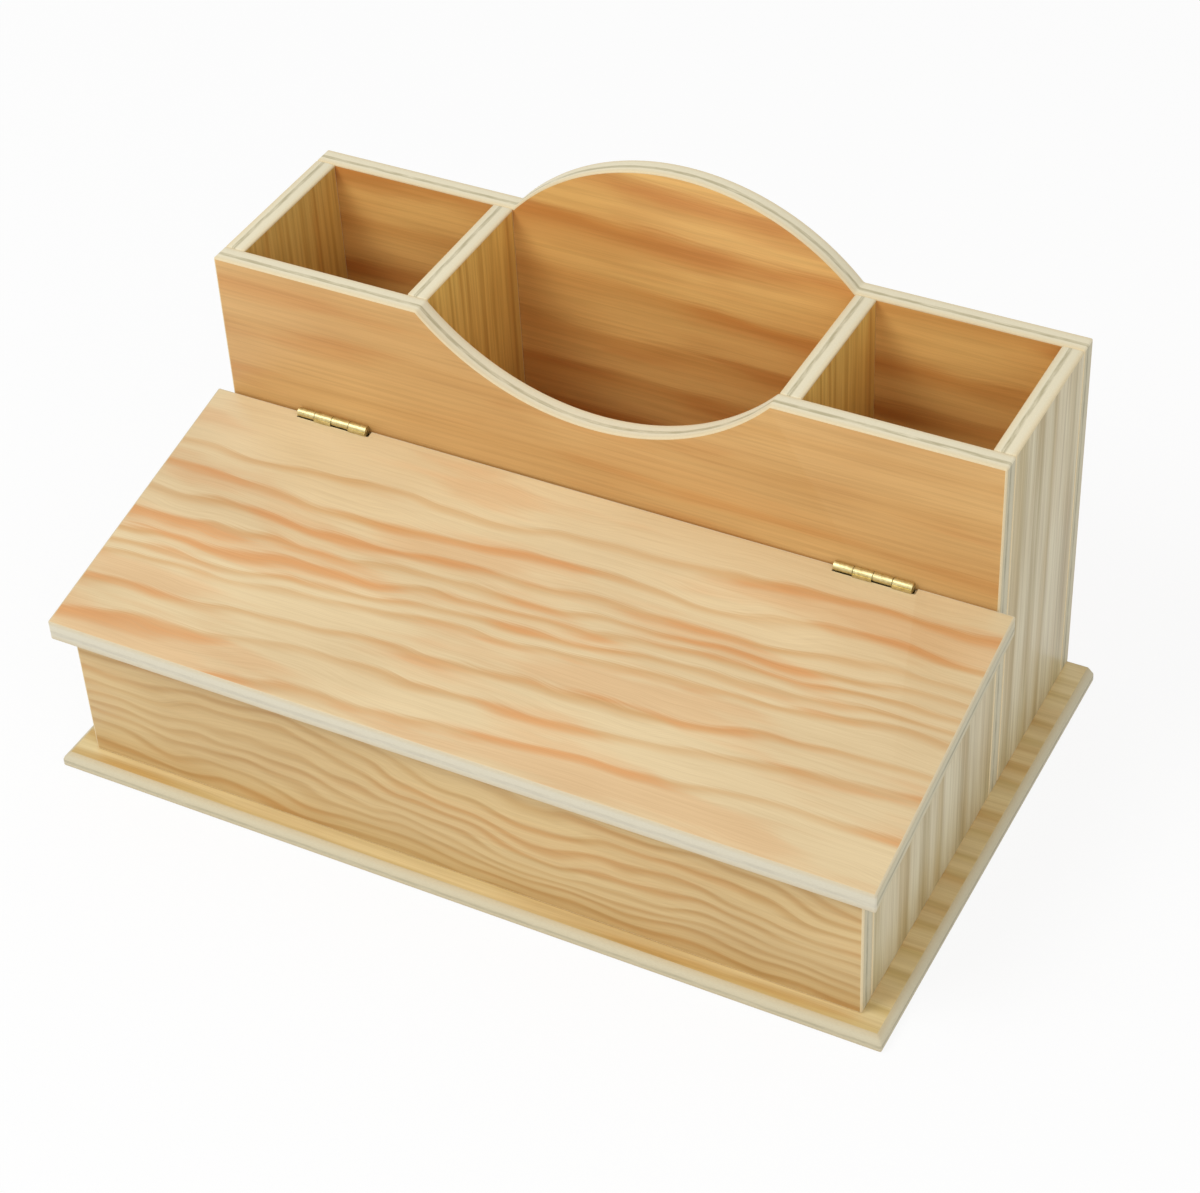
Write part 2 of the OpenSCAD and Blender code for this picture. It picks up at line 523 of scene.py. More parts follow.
@dataclass(frozen=True)
class PlyEdge:
    """The look of a board's edge: the colours of its outer plies and of its middle ply."""

    outer: str
    core: str


@dataclass(frozen=True)
class GrainFrame:
    """How a board lies: its middle, and the directions along, across and through its grain."""

    middle: Vector
    along: Vector
    across: Vector
    through: Vector
    thickness: float


@dataclass
class WoodShop:
    """Makes the face and edge materials of the boards. Its lengths are in millimetres."""

    fibre_gap: float = 0.35
    fibre_long: float = 30
    face_roughness: float = 0.42
    face_relief: float = 0.1
    edge_roughness: float = 0.6
    edge_relief: float = 0.15
    # How much the waves change from one side of a board to the other
    drift_through: float = 0.02
    # How much of the warm patches shows between the rings
    warm_between: float = 0.38
    ring_fade: Mottle = Mottle(90, 14, 2, 0.35, 0.6, "bcbcbc")
    warm_patch: Mottle = Mottle(75, 13, 3, 0.46, 0.62, "000000")
    cloud: Mottle = Mottle(70, 30, 2, 0.35, 0.65, "f1ece6")
    fleck: Mottle = Mottle(60, 1.3, 4, 0.36, 0.58, "d0c4ac")
    cloud_share: float = 0.8
    fibre_share: float = 0.14
    edge_stretch: float = 0.12
    skin_share: float = 0.8
    speck_scale: float = 9.0
    speck_share: float = 0.15
    bump_depth: float = 0.2

    def place(
        self, nodes: Nodes, lie: GrainFrame
    ) -> tuple[bpy.types.NodeSocket, bpy.types.NodeSocket, bpy.types.NodeSocket]:
        """Measures a point on a board along, across and through its grain, in millimetres.

        Args:
            nodes: The material being built.
            lie: How the board lies.

        Returns:
            The three measures.
        """
        point = nodes.add("TexCoord").outputs["Object"]
        offset = nodes.add("VectorMath", {0: point, 1: lie.middle}, operation="SUBTRACT")
        scaled = nodes.add("VectorMath", {0: offset.outputs[0], "Scale": 1 / MM}, operation="SCALE")
        in_mm = scaled.outputs[0]
        return nodes.dot(in_mm, lie.along), nodes.dot(in_mm, lie.across), nodes.dot(in_mm, lie.through)

    def face(self, name: str, veneer: Veneer, lie: GrainFrame) -> bpy.types.Material:
        """Makes a board's face material.

        Args:
            name: The material's name.
            veneer: The look of the veneer.
            lie: How the board lies.

        Returns:
            The material.
        """
        nodes = Nodes.of(name)
        along, across, through = self.place(nodes, lie)
        layer = nodes.math("ADD", nodes.math("MULTIPLY", through, self.drift_through), veneer.seed)

        def pattern(long: float, wide: float, detail: float) -> bpy.types.NodeSocket:
            """Adds a noise that is stretched along the grain, from lengths in millimetres."""
            spot = nodes.vector(nodes.math("DIVIDE", along, long), nodes.math("DIVIDE", across, wide), layer)
            return nodes.noise(spot, scale=1.0, detail=detail, rough=0.5)

        def mottled(look: Mottle, smooth: bool = False) -> bpy.types.NodeSocket:
            """Adds a soft pattern and returns its shade."""
            value = pattern(look.long, look.wide, look.detail)
            return nodes.ramp(value, [(look.low, rgb(look.dark)), (look.high, WHITE)], smooth)

        # The rings are stripes across the grain that waves bend, fibres fray and the lean turns
        drift = nodes.math("SUBTRACT", pattern(veneer.wave_long, veneer.wave_wide, veneer.wave_detail), 0.5)
        wave = nodes.math("MULTIPLY", drift, veneer.swing)
        bent = nodes.math("DIVIDE", nodes.math("ADD", across, wave), self.fibre_gap)
        run = nodes.math("DIVIDE", along, self.fibre_long)
        streak = nodes.fine_noise(nodes.vector(run, bent, layer))
        fray = nodes.math("MULTIPLY", nodes.math("SUBTRACT", streak, 0.5), veneer.feather)
        slope = nodes.math("SUBTRACT", veneer.lean, nodes.math("MULTIPLY", across, veneer.fan))
        climb = nodes.math("MULTIPLY", along, slope)
        height = nodes.math("SUBTRACT", nodes.math("ADD", across, nodes.math("ADD", wave, fray)), climb)
        spot = nodes.math("FRACT", nodes.math("ADD", nodes.math("DIVIDE", height, veneer.period), 0.5))
        ring = nodes.ramp(spot, veneer.stops(), smooth=True)
        faded = nodes.math("MULTIPLY", ring, mottled(self.ring_fade))
        amount = nodes.math("MULTIPLY", faded, veneer.strength)
        base = nodes.blend("MIX", amount, rgb(veneer.light), rgb(veneer.ring))
        # Warm patches are strongest on the rings
        on_ring = nodes.math("MULTIPLY", nodes.math("POWER", ring, 0.5), 1 - self.warm_between)
        reach = nodes.math("ADD", on_ring, self.warm_between)
        patch = mottled(self.warm_patch, smooth=True)
        heat = nodes.math("MULTIPLY", nodes.math("MULTIPLY", patch, reach), veneer.warmth)
        warm = nodes.blend("MIX", heat, base, rgb(veneer.warm))
        clouded = nodes.blend("MULTIPLY", self.cloud_share, warm, mottled(self.cloud))
        lines = nodes.ramp(streak, [(0.35, rgb("c9b8a2")), (0.6, WHITE)])
        fibred = nodes.blend("MULTIPLY", self.fibre_share, clouded, lines)
        colour = nodes.blend("MULTIPLY", veneer.grain, fibred, mottled(self.fleck))
        normal = self.relief(nodes, streak, self.face_relief)
        inputs = {"Base Color": colour, "Roughness": self.face_roughness, "Normal": normal}
        return nodes.finish(nodes.add("BsdfPrincipled", inputs))

    def edge(self, name: str, plies: PlyEdge, lie: GrainFrame) -> bpy.types.Material:
        """Makes a board's edge material, which shows the plies.

        Args:
            name: The material's name.
            plies: The colours of the plies.
            lie: How the board lies.

        Returns:
            The material.
        """
        nodes = Nodes.of(name)
        along, across, through = self.place(nodes, lie)
        depth = nodes.math("ADD", nodes.math("DIVIDE", through, lie.thickness / MM), 0.5)
        # The middle ply is a thin line, a little off the middle of the board
        line = nodes.ramp(depth, [(0.28, BLACK), (0.36, WHITE), (0.46, WHITE), (0.56, BLACK)], smooth=True)
        long, wide = (nodes.math("MULTIPLY", measure, self.edge_stretch) for measure in (along, across))
        cell = nodes.vector(long, wide, through)
        fade = nodes.ramp(nodes.fine_noise(cell), [(0.3, rgb("606060")), (0.6, WHITE)])
        glue, clean = rgb("f7ead0"), rgb("fffffa")
        skin = nodes.ramp(depth, [(0.0, glue), (0.3, clean), (0.75, clean), (1.0, glue)])
        wood = nodes.blend("MULTIPLY", self.skin_share, rgb(plies.outer), skin)
        lined = nodes.blend("MIX", nodes.math("MULTIPLY", line, fade), wood, rgb(plies.core))
        speck = nodes.fine_noise(cell, self.speck_scale)
        specks = nodes.ramp(speck, [(0.3, rgb("b5ac98")), (0.65, WHITE)])
        colour = nodes.blend("MULTIPLY", self.speck_share, lined, specks)
        normal = self.relief(nodes, speck, self.edge_relief)
        inputs = {"Base Color": colour, "Roughness": self.edge_roughness, "Normal": normal}
        return nodes.finish(nodes.add("BsdfPrincipled", inputs))

    def relief(self, nodes: Nodes, height: bpy.types.NodeSocket, strength: float) -> bpy.types.NodeSocket:
        """Adds a fine bump and returns its normal."""
        bump = nodes.add("Bump", {"Height": height, "Strength": strength, "Distance": self.bump_depth * MM})
        return bump.outputs["Normal"]


@dataclass(frozen=True)
class Metal:
    """A plain metal with a fine haze, whose size is a number of cells to the metre."""

    name: str
    colour: str
    shade: str
    smoothest: float
    roughest: float
    haze_scale: float = 900.0

    def material(self) -> bpy.types.Material:
        """Makes the metal's material.

        Returns:
            The material.
        """
        nodes = Nodes.of(self.name)
        point = nodes.add("TexCoord").outputs["Object"]
        haze = nodes.fine_noise(point, self.haze_scale)
        colour = nodes.ramp(haze, [(0.35, rgb(self.shade)), (0.6, rgb(self.colour))])
        rough = nodes.add("MapRange", {"Value": haze, "To Min": self.smoothest, "To Max": self.roughest})
        inputs = {"Base Color": colour, "Metallic": 1.0, "Roughness": rough.outputs[0]}
        return nodes.finish(nodes.add("BsdfPrincipled", inputs))


@dataclass
class Board:
    """One plywood board, shaped from its box in the frame."""

    node: str
    slot: str
    grain: Axis
    thin: Axis
    veneer: Veneer
    body: str = "body"
    inner: Veneer | None = None
    edge: PlyEdge = PlyEdge("f0e6cb", "c0b591")
    end: PlyEdge = PlyEdge("d0c8ae", "aba387")
    ease: float = 0.6 * MM
    box: Box = field(init=False)

    def __post_init__(self) -> None:
        """Reads the board's box."""
        self.box = Box.of(self.node)

    def lie(self) -> GrainFrame:
        """Tells how the board lies.

        Returns:
            Its middle, its directions and its thickness.
        """
        wide = next(axis for axis in Axis if axis not in (self.grain, self.thin))
        thickness = self.box.size[self.thin.value]
        return GrainFrame(self.box.centre, self.grain.unit, wide.unit, self.thin.unit, thickness)

    def outline(self) -> bpy.types.Object:
        """Shapes the board with sharp edges."""
        return Bench.block(self.node + "_board", self.box)

    def drill(self, piece: bpy.types.Object) -> None:
        """Cuts what is cut after the edges are eased. A plain board has nothing."""

    def skin(self, normal: Vector, lie: GrainFrame) -> Skin:
        """Tells what kind of surface one of the board's polygons belongs to.

        Args:
            normal: The direction that the polygon looks in.
            lie: How the board lies.

        Returns:
            The kind. Only a board whose grain runs across the organizer shows its end grain.
        """
        if self.grain is Axis.ACROSS and abs(normal.x) > STRAIGHT:
            return Skin.END_GRAIN
        if abs(normal.dot(lie.through)) < STRAIGHT:
            return Skin.EDGE
        outward = Vector((self.box.centre.x, self.box.centre.y, 0))
        return Skin.INNER_FACE if self.inner and normal.dot(outward) < 0 else Skin.FACE

    def build(self, shop: WoodShop) -> bpy.types.Object:
        """Shapes, eases and dresses the board.

        Args:
            shop: Where its materials are made.

        Returns:
            The finished board.
        """
        piece = self.outline()
        Bench.ease(piece, self.ease)
        self.drill(piece)
        lie = self.lie()
        materials = piece.data.materials
        materials.clear()
        materials.append(shop.face(self.node + "_face", self.veneer, lie))
        materials.append(shop.edge(self.node + "_edge", self.edge, lie))
        materials.append(shop.edge(self.node + "_end", self.end, lie))
        if self.inner:
            materials.append(shop.face(self.node + "_inner_face", self.inner, lie))
        for polygon in piece.data.polygons:
            polygon.material_index = self.skin(polygon.normal, lie).value
        Bench.smooth(piece)
        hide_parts(self.node)
        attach(piece, self.body)
        log.info("board %s: %d faces", piece.name, len(piece.data.polygons))
        return piece


@dataclass
class Slope:
    """The lid's slope, read from the tops of the boards under it."""

    front: Vector = field(init=False)
    run: Vector = field(init=False)
    normal: Vector = field(init=False)

    def __post_init__(self) -> None:
        """Finds the plane through the tops of the front panel and the front sides."""
        panel, side = Box.of("front_panel"), Box.of("left_front_side")
        self.front = Vector((0, panel.high.y, panel.high.z))
        self.run = Vector((0, side.high.y - self.front.y, side.high.z - self.front.z)).normalized()
        self.normal = Vector((0, -self.run.z, self.run.y))


@dataclass
class SlopedBoard(Board):
    """A board whose top is planed to the lid's slope."""

    slope: Slope = field(default_factory=Slope)

    def outline(self) -> bpy.types.Object:
        """Shapes the board and planes its top.

        Returns:
            The board with sharp edges.
        """
        piece = super().outline()
        Bench.saw(piece, self.slope.front, self.slope.normal)
        return piece


@dataclass
class Pinned:
    """The holes over a group of brads or screws, as one cutting tool."""

    node: str
    axis: Axis
    radius: float = 1.05 * MM
    # Points closer than this belong to one fastener
    apart: float = 4 * MM
    sides: int = 24

    def tool(self, low: float, high: float) -> bpy.types.Object:
        """Makes the cutting tool.

        Args:
            low: Where the holes start along the fasteners' direction.
            high: Where they end.

        Returns:
            The tool, with one rod for each fastener.
        """
        rods = []
        for i, spot in enumerate(self.spots()):
            start = spot.copy()
            start[self.axis.value] = low
            name = f"{self.node}_cut_{i}"
            rods.append(Bench.rod(name, start, self.axis, self.radius, high - low, self.sides))
        return Bench.join(rods)

    def spots(self) -> list[Vector]:
        """Finds the middle of each fastener from the node's mesh, which holds them all.

        Returns:
            One middle for each fastener.
        """
        groups: list[list[Vector]] = []
        for vertex in bpy.data.objects[self.node].data.vertices:
            point = vertex.co.copy()
            near = next((g for g in groups if self.flat(g[0] - point).length < self.apart), None)
            if near is None:
                groups.append([point])
            else:
                near.append(point)
        return [self.middle(points) for points in groups]

    def flat(self, offset: Vector) -> Vector:
        """Drops the part of an offset that lies along the fasteners.

        Args:
            offset: The way from one point to another.

        Returns:
            What is left of it, square to the fasteners.
        """
        rest = offset.copy()
        rest[self.axis.value] = 0
        return rest

    def middle(self, points: list[Vector]) -> Vector:
        """Finds the middle of a group of points.

        Args:
            points: The points.

        Returns:
            The middle of the box that they fill.
        """
        low = Vector([min(p[i] for p in points) for i in range(3)])
        high = Vector([max(p[i] for p in points) for i in range(3)])
        return (low + high) / 2


@dataclass
class BasePlate(Board):
    """The base plate, bevelled along its front and side top edges."""

    bevel: float = 2 * MM
    recess: float = 0.8 * MM

    def outline(self) -> bpy.types.Object:
        """Shapes the plate and its bevel.

        Returns:
            The plate with sharp edges.
        """
        piece = super().outline()
        top, back = self.box.high.z, self.box.high.y

        def wanted(a: Vector, b: Vector) -> bool:
            """Picks the top edges except the back one."""
            at_top = min(a.z, b.z) > top - NEAR
            return at_top and not min(a.y, b.y) > back - NEAR

        Bench.bevel_edges(piece, wanted, self.bevel)
        return piece

    def drill(self, piece: bpy.types.Object) -> None:
        """Sinks the recesses over the brads in the underside."""
        under = self.box.low.z
        Bench.combine(piece, Pinned("base_brads", Axis.UP).tool(under - PAST, under + self.recess))


@dataclass
class ArcedBoard(Board):
    """A full-width board with an arc in its rim, between the dividers."""

    @property
    def rise(self) -> float:
        """How far the arch of the back panel stands over the straight rims."""
        return Box.of("back_panel").high.z - self.rim()

    def chord(self) -> float:
        """Finds the clear width between the dividers."""
        return Box.of("right_divider").low.x - Box.of("left_divider").high.x

    def rim(self) -> float:
        """Finds the height of the straight rims."""
        return Box.of("left_divider").high.z

    def radius(self) -> float:
        """Works out the arc's radius from its chord and rise."""
        half = self.chord() / 2
        return (half**2 + self.rise**2) / (2 * self.rise)

    def disc(self, centre_z: float, spare: float, sides: int = 360) -> bpy.types.Object:
        """Makes the round tool that shapes the arc.

        Args:
            centre_z: The height of the arc's centre.
            spare: How far the tool stands out past each face of the board.
            sides: How many sides the tool's outline has.

        Returns:
            The tool.
        """
        start = Vector((0, self.box.low.y - spare, centre_z))
        length = self.box.size.y + 2 * spare
        return Bench.rod(self.node + "_arc", start, Axis.DEEP, self.radius(), length, sides)


@dataclass
class MiddlePanel(ArcedBoard):
    """The middle panel, whose rim dips."""

    def outline(self) -> bpy.types.Object:
        """Shapes the panel and cuts the dip.

        Returns:
            The panel with sharp edges.
        """
        piece = super().outline()
        Bench.combine(piece, self.disc(self.rim() - self.rise + self.radius(), PAST))
        return piece


@dataclass
class BackPanel(ArcedBoard):
    """The back panel, whose rim arches up."""

    recess: float = 0.8 * MM

    def outline(self) -> bpy.types.Object:
        """Shapes the board up to the arch's top and cuts away what stands beside the arch.

        Returns:
            The panel with sharp edges.
        """
        piece = super().outline()
        spare = Vector((PAST, PAST, PAST))
        low = Vector((self.box.low.x, self.box.low.y, self.rim() + spare.z))
        waste = Bench.block("waste", Box(low - spare, self.box.high + spare))
        Bench.combine(waste, self.disc(self.rim() + self.rise - self.radius(), 2 * PAST))
        Bench.combine(piece, waste)
        return piece

    def drill(self, piece: bpy.types.Object) -> None:
        """Sinks the recesses over the brads in the back."""
        back = self.box.high.y
        Bench.combine(piece, Pinned("back_brads", Axis.DEEP).tool(back - self.recess, back + PAST))


@dataclass
class Lid(Board):
    """The sloping lid, with a recess in its back edge for each hinge."""

    slope: Slope = field(default_factory=Slope)
    thickness: float = 7 * MM
    recess_gap: float = 0.3 * MM
    groove_gap: float = 0.4 * MM
    groove_end: float = 0.9 * MM

    def top_point(self) -> Vector:
        """Finds a point on the lid's top, at its back edge."""
        return Vector((0, self.box.high.y, self.box.high.z))

    def lie(self) -> GrainFrame:
        """Tells how the sloping board lies.

        Returns:
            Its middle, its thickness and its directions, turned with the slope.
        """
        middle = self.top_point() - self.slope.normal * self.thickness / 2
        middle -= self.slope.run * self.box.size.y / 2
        return GrainFrame(middle, Axis.ACROSS.unit, self.slope.run, self.slope.normal, self.thickness)

    def outline(self) -> bpy.types.Object:
        """Saws the sloping board out of its box.

        Returns:
            The lid with sharp edges.
        """
        piece = super().outline()
        Bench.saw(piece, self.top_point(), self.slope.normal)
        Bench.saw(piece, self.top_point() - self.slope.normal * self.thickness, -self.slope.normal)
        return piece

    def drill(self, piece: bpy.types.Object) -> None:
        """Cuts a recess for each hinge's leaf and a groove round its barrel.

        Args:
            piece: The lid.
        """
        for side in Side:
            hinge = Hinge(side)
            leaf = hinge.lid_leaf
            gap = Vector((self.recess_gap, 0, self.recess_gap))
            low = leaf.low - gap
            high = Vector((leaf.high.x + gap.x, self.box.high.y + PAST, self.box.high.z + PAST))
            Bench.combine(piece, Bench.block("recess", Box(low, high)))
            start = Vector((low.x, hinge.axis.y, hinge.axis.z))
            reach = hinge.radius + self.groove_gap
            groove = Bench.rod("groove", start, Axis.ACROSS, reach, high.x - low.x + self.groove_end)
            Bench.combine(piece, groove)


@dataclass
class Hinge:
    """One small brass butt hinge: two leaves with rolled knuckles, and a pin."""

    side: Side
    knuckles: int = 4
    leaf_t: float = 0.6 * MM
    clear: float = 0.4 * MM
    knuckle_gap: float = 0.2 * MM
    bore_gap: float = 0.03 * MM
    screw_hole_r: float = 1.15 * MM
    screw_hole_past: float = 0.3 * MM
    tab_sunk: float = 0.5 * MM
    lip_drop: float = 0.9 * MM
    lip_rise: float = 0.1 * MM
    lip_bite: float = 0.3 * MM
    leaf_ease: float = 0.12 * MM
    pin_ease: float = 0.3 * MM
    fine_sides: int = 32

    @property
    def pin(self) -> Box:
        """The pin's box."""
        return Box.of(f"{self.side.value}_hinge_pin")

    @property
    def panel_leaf(self) -> Box:
        """The box of the leaf on the middle panel."""
        return Box.of(f"{self.side.value}_panel_leaf")

    @property
    def lid_leaf(self) -> Box:
        """The box of the leaf on the lid."""
        return Box.of(f"{self.side.value}_lid_leaf")

    @property
    def axis(self) -> Vector:
        """The middle of the pin."""
        return self.pin.centre

    @property
    def radius(self) -> float:
        """The barrel's radius."""
        return self.lid_leaf.high.z - self.axis.z

    def knuckle(self, number: int) -> tuple[float, float]:
        """Finds the two ends of a knuckle, with half a gap to each neighbour.

        Args:
            number: The knuckle's number from the left, from 0.

        Returns:
            Its left and right ends.
        """
        box = self.lid_leaf
        step = box.size.x / self.knuckles
        start = box.low.x + number * step + (self.knuckle_gap / 2 if number else 0)
        last = number == self.knuckles - 1
        stop = box.low.x + (number + 1) * step - (0 if last else self.knuckle_gap / 2)
        return start, stop

    def leaf(
        self, name: str, plate_y: float, own: tuple[int, ...], screws: str, lipped: bool
    ) -> bpy.types.Object:
        """Shapes a leaf.

        Args:
            name: The new piece's name.
            plate_y: Where the plate's front face lies.
            own: The numbers of the knuckles that belong to this leaf, from the left.
            screws: The screws that hold it.
            lipped: Whether a lip joins each knuckle to a plate that stands off from the barrel.

        Returns:
            The leaf.
        """
        box, axis = self.lid_leaf, self.axis
        plate_top = axis.z - self.radius - self.clear
        low = Vector((box.low.x, plate_y, box.low.z))
        high = Vector((box.high.x, plate_y + self.leaf_t, plate_top))
        piece = Bench.block(name, Box(low, high))
        for number in own:
            start, stop = self.knuckle(number)
            low = Vector((start, plate_y, plate_top - self.tab_sunk))
            high = Vector((stop, plate_y + self.leaf_t, axis.z))
            Bench.combine(piece, Bench.block("tab", Box(low, high)), Joinery.ADD)
            roll = Bench.rod("roll", Vector((start, axis.y, axis.z)), Axis.ACROSS, self.radius, stop - start)
            Bench.combine(piece, roll, Joinery.ADD)
            if lipped:
                low = Vector((start, axis.y - self.radius - self.clear, axis.z - self.lip_drop))
                high = Vector((stop, axis.y - self.radius + self.lip_bite, axis.z + self.lip_rise))
                Bench.combine(piece, Bench.block("lip", Box(low, high)), Joinery.ADD)
        start = Vector((box.low.x - PAST, axis.y, axis.z))
        bore_r = self.pin.size.z / 2 + self.bore_gap
        length = box.size.x + 2 * PAST
        Bench.combine(piece, Bench.rod("bore", start, Axis.ACROSS, bore_r, length, self.fine_sides))
        Bench.ease(piece, self.leaf_ease, 2)
        holes = Pinned(screws, Axis.DEEP, self.screw_hole_r)
        far = plate_y + self.leaf_t + self.screw_hole_past
        Bench.combine(piece, holes.tool(plate_y - self.screw_hole_past, far))
        return piece

    def build(self, brass: bpy.types.Material) -> None:
        """Makes the hinge's three pieces.

        Args:
            brass: The brass's material.
        """
        side = self.side.value
        panel_y = self.panel_leaf.high.y - self.leaf_t
        lid_y = self.lid_leaf.low.y
        fixed = self.leaf(f"{side}_fixed_leaf", panel_y, (0, 2), "panel_leaf_screws", lipped=False)
        moving = self.leaf(f"{side}_moving_leaf", lid_y, (1, 3), "lid_leaf_screws", lipped=True)
        start = Vector((self.pin.low.x, self.axis.y, self.axis.z))
        size = self.pin.size
        pin = Bench.rod(f"{side}_pin", start, Axis.ACROSS, size.z / 2, size.x, self.fine_sides)
        Bench.ease(pin, self.pin_ease)
        parts = (
            (fixed, f"{side}_panel_leaf", "body"),
            (moving, f"{side}_lid_leaf", "lid"),
            (pin, f"{side}_hinge_pin", "body"),
        )
        for piece, node, body in parts:
            piece.data.materials.clear()
            piece.data.materials.append(brass)
            Bench.smooth(piece)
            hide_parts(node)
            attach(piece, body)
            log.info("hinge piece %s: %d faces", piece.name, len(piece.data.polygons))


@dataclass(frozen=True)
class Lamp:
    """A square soft lamp: its place and side in metres, and its power in watts."""

    name: str
    place: tuple[float, float, float]
    size: float
    power: float

    def hang(self, aim: Vector) -> None:
        """Hangs the lamp so that it points at the organizer.

        Args:
            aim: The point that it shines on.
        """
        data = bpy.data.lights.new(self.name, "AREA")
        data.shape = "SQUARE"
        data.size = self.size
        data.energy = self.power
        lamp = bpy.data.objects.new(self.name, data)
        lamp.location = self.place
        lamp.rotation_euler = (lamp.location - aim).to_track_quat("Z", "Y").to_euler()
        bpy.context.scene.collection.objects.link(lamp)


@dataclass
class Studio:
    """The camera, the lamps, the world and the floor."""

    aim: Vector = field(default_factory=lambda: Vector((6.9, 4.5, 51.5)) * MM)
    distance: float = 900 * MM
    azimuth: float = 29.45
    elevation: float = 40.30
    roll: float = -3.29
    lens: float = 88.0
    sensor: float = 36.0
    nearest: float = 10 * MM
    lamps: tuple[Lamp, ...] = (
        Lamp("key", (-0.7, -0.9, 1.5), 0.9, 14),
        Lamp("fill", (1.2, -0.8, 1.0), 1.0, 4),
    )
    room_light: float = 0.55
    floor_size: float = 12.0
    floor_drop: float = 0.2 * MM
    floor_paint: Colour = (0.96, 0.96, 0.96, 1.0)
    # The share of plain white that a floor in view has; the rest is paint, which takes the shadow
    floor_glow: float = 0.88

    def camera(self) -> None:
        """Sets the camera where the photograph was taken from."""
        az, el, roll = (math.radians(a) for a in (self.azimuth, self.elevation, self.roll))
        back = Vector((math.sin(az) * math.cos(el), -math.cos(az) * math.cos(el), math.sin(el)))
        right = Vector((math.cos(az), math.sin(az), 0))
        up = back.cross(right)
        turned_right = right * math.cos(roll) + up * math.sin(roll)
        turned_up = up * math.cos(roll) - right * math.sin(roll)
        data = bpy.data.cameras.new("camera")
        data.sensor_fit = "HORIZONTAL"
        data.sensor_width = self.sensor
        data.lens = self.lens
        data.clip_start = self.nearest
        camera = bpy.data.objects.new("camera", data)
        place = Matrix((turned_right, turned_up, back)).transposed().to_4x4()
        place.translation = self.aim + back * self.distance
        camera.matrix_world = place
        bpy.context.scene.collection.objects.link(camera)
        bpy.context.scene.camera = camera

    def world(self) -> None:
        """Fills the room with plain light, in front of a white background."""
        world = bpy.data.worlds.new("room")
        bpy.context.scene.world = world
        nodes = Nodes(world)
        room = nodes.add("Background", {"Color": WHITE, "Strength": self.room_light})
        white = nodes.add("Background", {"Color": WHITE, "Strength": 1.0})
        mix = nodes.add("MixShader", {0: nodes.seen(), 1: room.outputs[0], 2: white.outputs[0]})
        nodes.finish(mix)

    def floor(self) -> None:
        """Lays a white floor, which keeps a faint shadow."""
        Bench.clear_selection()
        bpy.ops.mesh.primitive_plane_add(size=self.floor_size, location=(0, 0, -self.floor_drop))
        floor = bpy.context.object
        floor.name = "floor"
        Bench.settle(floor)
        nodes = Nodes.of("floor_white")
        paint = nodes.add("BsdfDiffuse", {"Color": self.floor_paint})
        glow = nodes.add("Emission", {"Color": WHITE, "Strength": 1.0})
        share = nodes.math("MULTIPLY", nodes.seen(), self.floor_glow)
        mix = nodes.add("MixShader", {0: share, 1: paint.outputs[0], 2: glow.outputs[0]})
        floor.data.materials.append(nodes.finish(mix))

    def build(self) -> None:
        """Sets the whole stage."""
        bpy.context.scene.view_settings.view_transform = "Standard"
        self.camera()
        self.world()
        for lamp in self.lamps:
            lamp.hang(self.aim)
        self.floor()
        log.info("stage set")


LID_VENEER = Veneer(
    light="ead3a6",
    ring="d9ae74",
    warm="e2a466",
    rings=(6.5, 19, 29, 41.5, 46.5, 51.5, 56.5, 63, 73, 84),
    period=101,
    widest=3.3,
    warmth=0.85,
    grain=0.1,
    lean=0.065,
    fan=0.0007,
    swing=16,
    wave_long=66,
    wave_wide=26,
    wave_detail=2.2,
    feather=2.0,
    seed=3.1,
)
FRONT_VENEER = Veneer(
    light="dfc28a",
    ring="c79d5c",
    warm="d6a262",
    rings=(3, 7.5, 12.5, 18.5, 24, 31),
    period=34,
    widest=2.8,
    warmth=0.45,
    grain=0.15,
    lean=-0.05,
    swing=28,
    wave_long=62,
    wave_wide=34,
    seed=8.7,
)
MIDDLE_VENEER = Veneer(
    light="dfb271",
    ring="d39f5a",
    warm="d4944e",
    rings=(9, 23, 41, 52),
    period=62,
    widest=7,
    strength=0.5,
    warmth=0.5,
    swing=16,
    wave_long=160,
    wave_wide=40,
    seed=15.2,
)
BACK_VENEER = Veneer(
    light="f8c676",
    ring="da9446",
    warm="d2843c",
    rings=(14, 31, 47, 66),
    period=74,
    widest=9,
    strength=0.8,
    swing=16,
    wave_long=120,
    wave_wide=34,
    feather=3,
    warmth=0.45,
    seed=27.6,
)
SIDE_VENEER = Veneer(
    light="dcd2b0",
    ring="bcae7e",
    warm="cdb27c",
    rings=(12, 26, 37, 55),
    period=64,
    widest=9,
    strength=0.8,
    warmth=0.4,
    grain=0.6,
    swing=9,
    wave_long=130,
    wave_wide=30,
    seed=21.4,
)
DIVIDER_VENEER = replace(
    SIDE_VENEER,
    light="efc86e",
    ring="cfa24e",
    warm="d49c4e",
    rings=(4, 11, 15, 24, 31),
    period=37,
    widest=3,
    strength=0.7,
    grain=0.5,
    seed=33.9,
)
SIDE_INNER_VENEER = replace(DIVIDER_VENEER, light="e3be6a", seed=51.8)
BASE_VENEER = Veneer(
    light="e8d29c",
    ring="d0b471",
    warm="cfa158",
    rings=(5, 13, 24, 33),
    period=43,
    widest=5,
    strength=0.8,
    swing=12,
    wave_long=140,
    wave_wide=30,
    seed=40.3,
)
BASE_EDGE = PlyEdge("d5cbb0", "bfb698")
LID_EDGE = PlyEdge("e2dbc8", "d6cfba")
HINGE_BRASS = Metal("hinge_brass", "d6c896", "c2b27c", 0.36, 0.5)
SCREW_BRASS = Metal("screw_brass", "e0c47c", "c9a658", 0.24, 0.38)
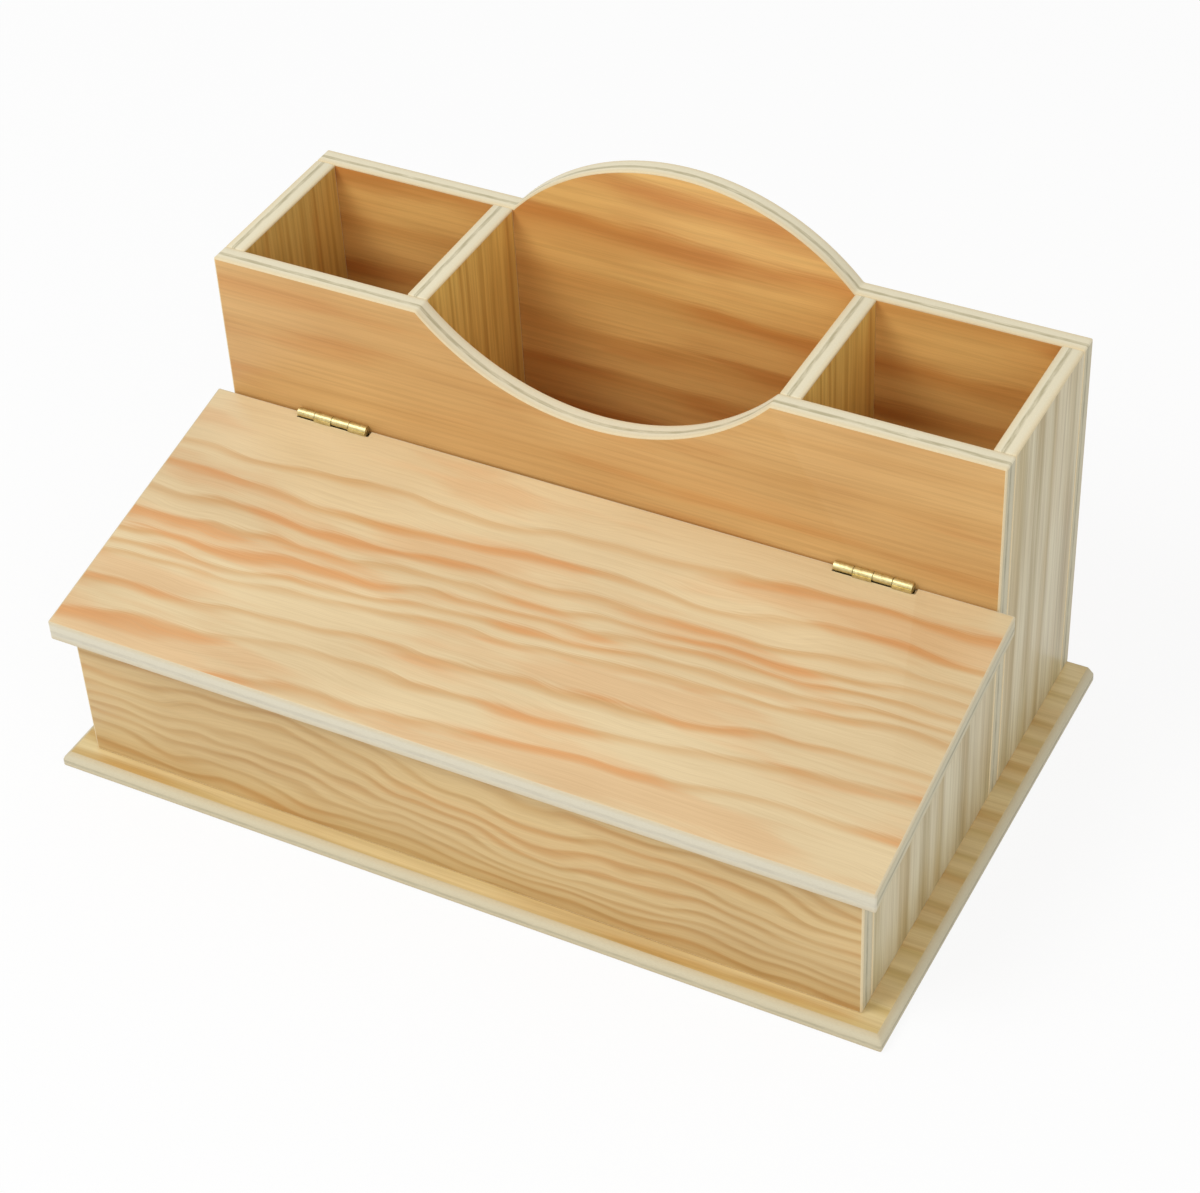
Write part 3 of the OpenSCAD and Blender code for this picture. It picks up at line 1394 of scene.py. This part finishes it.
BRAD_STEEL = Metal("brad_steel", "c8c8c6", "9c9c9a", 0.34, 0.48)


@dataclass
class Organizer:
    """The whole desk organizer."""

    shop: WoodShop = field(default_factory=WoodShop)

    def boards(self) -> list[Board]:
        """Lists every board with its grain and its look.

        Returns:
            The boards, in the order that they are built.
        """
        x, y, z = Axis.ACROSS, Axis.DEEP, Axis.UP
        listed: list[Board] = [
            BasePlate("base_plate", "base_wood", x, z, BASE_VENEER, edge=BASE_EDGE),
            SlopedBoard("front_panel", "front_wood", x, y, FRONT_VENEER),
            MiddlePanel("middle_panel", "panel_wood", x, y, MIDDLE_VENEER),
            BackPanel("back_panel", "panel_wood", x, y, BACK_VENEER),
            Lid("lid", "lid_wood", x, z, LID_VENEER, body="lid", edge=LID_EDGE),
        ]
        for side in Side:
            front, rear = f"{side.value}_front_side", f"{side.value}_rear_side"
            listed.append(SlopedBoard(front, "side_wood", z, x, SIDE_VENEER, inner=SIDE_INNER_VENEER))
            listed.append(Board(rear, "side_wood", z, x, SIDE_VENEER, inner=SIDE_INNER_VENEER))
            listed.append(Board(f"{side.value}_divider", "divider_wood", z, x, DIVIDER_VENEER))
        return listed

    def fasteners(self) -> None:
        """Dresses the screws and the brads, which keep their own shapes."""
        brass, steel = SCREW_BRASS.material(), BRAD_STEEL.material()
        finishes = {
            "panel_leaf_screws": brass,
            "lid_leaf_screws": brass,
            "base_brads": steel,
            "back_brads": steel,
        }
        for node, material in finishes.items():
            piece = bpy.data.objects[node]
            piece.data.materials.clear()
            piece.data.materials.append(material)
            log.info("fasteners %s dressed", node)

    def build(self) -> None:
        """Builds every board, the hinges and the fasteners."""
        for board in self.boards():
            board.build(self.shop)
        brass = HINGE_BRASS.material()
        for side in Side:
            Hinge(side).build(brass)
        self.fasteners()


def main() -> None:
    """Loads the frame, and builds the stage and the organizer."""
    logging.basicConfig(level=logging.INFO, format="%(name)s: %(message)s")
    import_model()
    Studio().build()
    Organizer().build()


if __name__ == "__main__":
    main()
